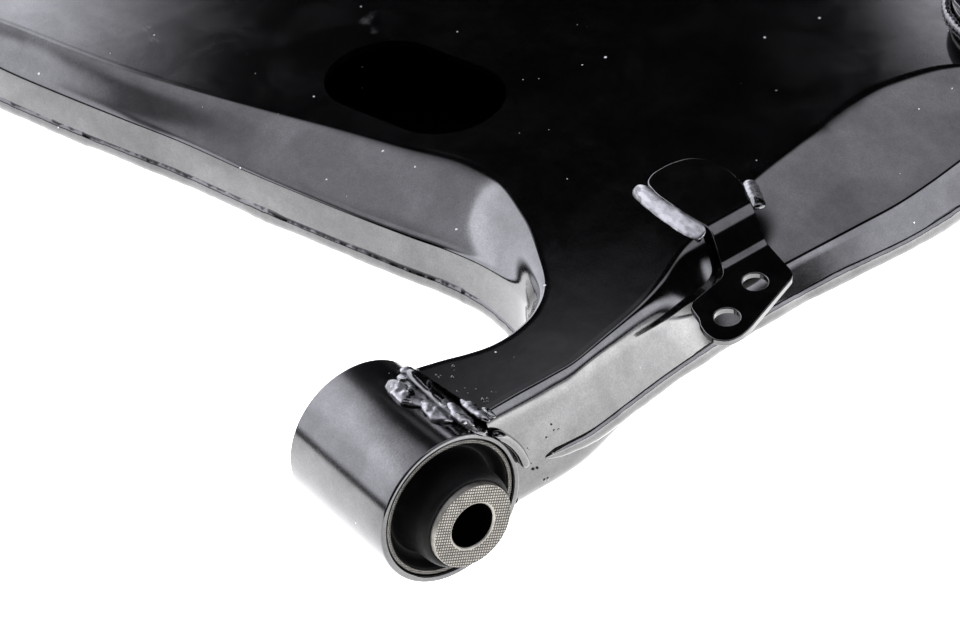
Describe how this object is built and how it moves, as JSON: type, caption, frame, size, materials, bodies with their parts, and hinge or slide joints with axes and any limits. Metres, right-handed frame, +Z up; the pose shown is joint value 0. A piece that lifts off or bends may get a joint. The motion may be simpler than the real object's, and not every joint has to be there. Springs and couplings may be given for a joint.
{
  "type": "suspension control arm",
  "caption": "Flat triangular suspension arm of two welded black steel shells, with a crosswise bush, an upright bush, a ball joint and a line bracket.",
  "frame": {"origin": "centre of the footprint, on the surface the arm lies on", "axes": "+X forward along the front bush's bolt, +Y outboard towards the ball joint, +Z up, square to the upper shell's flat"},
  "size_m": [0.4108, 0.341, 0.1175],
  "materials": {
    "upper_shell": "glossy black coat",
    "lower_shell": "glossy black coat",
    "inner_seam_weld": "glossy black coat over a rough weld",
    "front_seam_weld": "glossy black coat over a rough weld",
    "trailing_seam_weld": "glossy black coat over a rough weld",
    "front_bush_housing": "glossy black coat",
    "front_housing_weld_upper": "glossy black coat over a rough weld",
    "front_housing_weld_lower": "glossy black coat over a rough weld",
    "front_housing_weld_forward": "glossy black coat over a rough weld",
    "front_housing_weld_backward": "glossy black coat over a rough weld",
    "rear_bush_housing": "glossy black coat",
    "rear_housing_weld_upper": "glossy black coat over a rough weld",
    "rear_housing_weld_lower": "glossy black coat over a rough weld",
    "line_bracket": "glossy black coat",
    "bracket_weld_inboard": "glossy black coat over a rough weld",
    "bracket_weld_outboard": "glossy black coat over a rough weld",
    "ball_joint_carrier": "glossy black coat",
    "carrier_weld_upper": "glossy black coat over a rough weld",
    "carrier_weld_lower": "glossy black coat over a rough weld",
    "front_bush_outer_can": "satin, zinc grey",
    "front_bush_inner_sleeve": "satin, zinc grey",
    "rear_bush_outer_can": "satin, zinc grey",
    "rear_bush_inner_sleeve": "satin, zinc grey",
    "ball_joint_housing": "satin, zinc grey",
    "ball_joint_cap": "satin, zinc grey",
    "ball_joint_snap_ring": "satin, zinc grey",
    "boot_lower_clip": "satin, zinc grey",
    "boot_upper_ring": "satin, zinc grey",
    "ball_stud": "satin, zinc grey",
    "castle_nut": "satin, zinc grey",
    "cotter_pin": "satin, zinc grey",
    "front_bush_rubber": "matt black",
    "rear_bush_rubber": "matt black",
    "dust_boot": "matt black",
    "ball_joint_seat": "greased, off-white"
  },
  "bodies": {
    "arm": {"upper_shell": "upper_shell", "lower_shell": "lower_shell", "inner_seam_weld": "inner_seam_weld", "front_seam_weld": "front_seam_weld", "trailing_seam_weld": "trailing_seam_weld", "front_bush_housing": "front_bush_housing", "front_housing_weld_upper": "front_housing_weld_upper", "front_housing_weld_lower": "front_housing_weld_lower", "front_housing_weld_forward": "front_housing_weld_forward", "front_housing_weld_backward": "front_housing_weld_backward", "rear_bush_housing": "rear_bush_housing", "rear_housing_weld_upper": "rear_housing_weld_upper", "rear_housing_weld_lower": "rear_housing_weld_lower", "line_bracket": "line_bracket", "bracket_weld_inboard": "bracket_weld_inboard", "bracket_weld_outboard": "bracket_weld_outboard", "ball_joint_carrier": "ball_joint_carrier", "carrier_weld_upper": "carrier_weld_upper", "carrier_weld_lower": "carrier_weld_lower", "front_bush_outer_can": "front_bush_outer_can", "rear_bush_outer_can": "rear_bush_outer_can", "ball_joint_housing": "ball_joint_housing", "ball_joint_cap": "ball_joint_cap", "ball_joint_snap_ring": "ball_joint_snap_ring", "boot_lower_clip": "boot_lower_clip", "front_bush_rubber": "front_bush_rubber", "rear_bush_rubber": "rear_bush_rubber", "dust_boot": "dust_boot", "ball_joint_seat": "ball_joint_seat"},
    "front_sleeve": {"front_bush_inner_sleeve": "front_bush_inner_sleeve"},
    "rear_sleeve": {"rear_bush_inner_sleeve": "rear_bush_inner_sleeve"},
    "boot_ring": {"boot_upper_ring": "boot_upper_ring"},
    "stud": {"ball_stud": "ball_stud", "castle_nut": "castle_nut", "cotter_pin": "cotter_pin"}
  },
  "joints": [
    {"name": "front_bush_twist", "type": "hinge", "parent": "arm", "child": "front_sleeve", "pos_m": [0.16555, -0.1455, 0.025], "axis": [1, 0, 0], "range_deg": [-22, 22], "stiffness_Nm_per_rad": 60},
    {"name": "rear_bush_tilt", "type": "hinge", "parent": "arm", "child": "rear_sleeve", "pos_m": [-0.17245, -0.1095, 0.0295], "axis": [0.9944, -0.1059, 0], "range_deg": [-12, 12], "stiffness_Nm_per_rad": 120, "deforming": ["rear_bush_rubber"]},
    {"name": "ball_joint_tilt", "type": "hinge", "parent": "arm", "child": "boot_ring", "pos_m": [0.14555, 0.1305, 0.033], "axis": [1, 0, 0], "range_deg": [-18, 18], "deforming": ["dust_boot"]},
    {"name": "ball_stud_spin", "type": "hinge", "parent": "boot_ring", "child": "stud", "pos_m": [0.14555, 0.1305, 0.033], "axis": [0, 0, 1], "continuous": true}
  ]
}
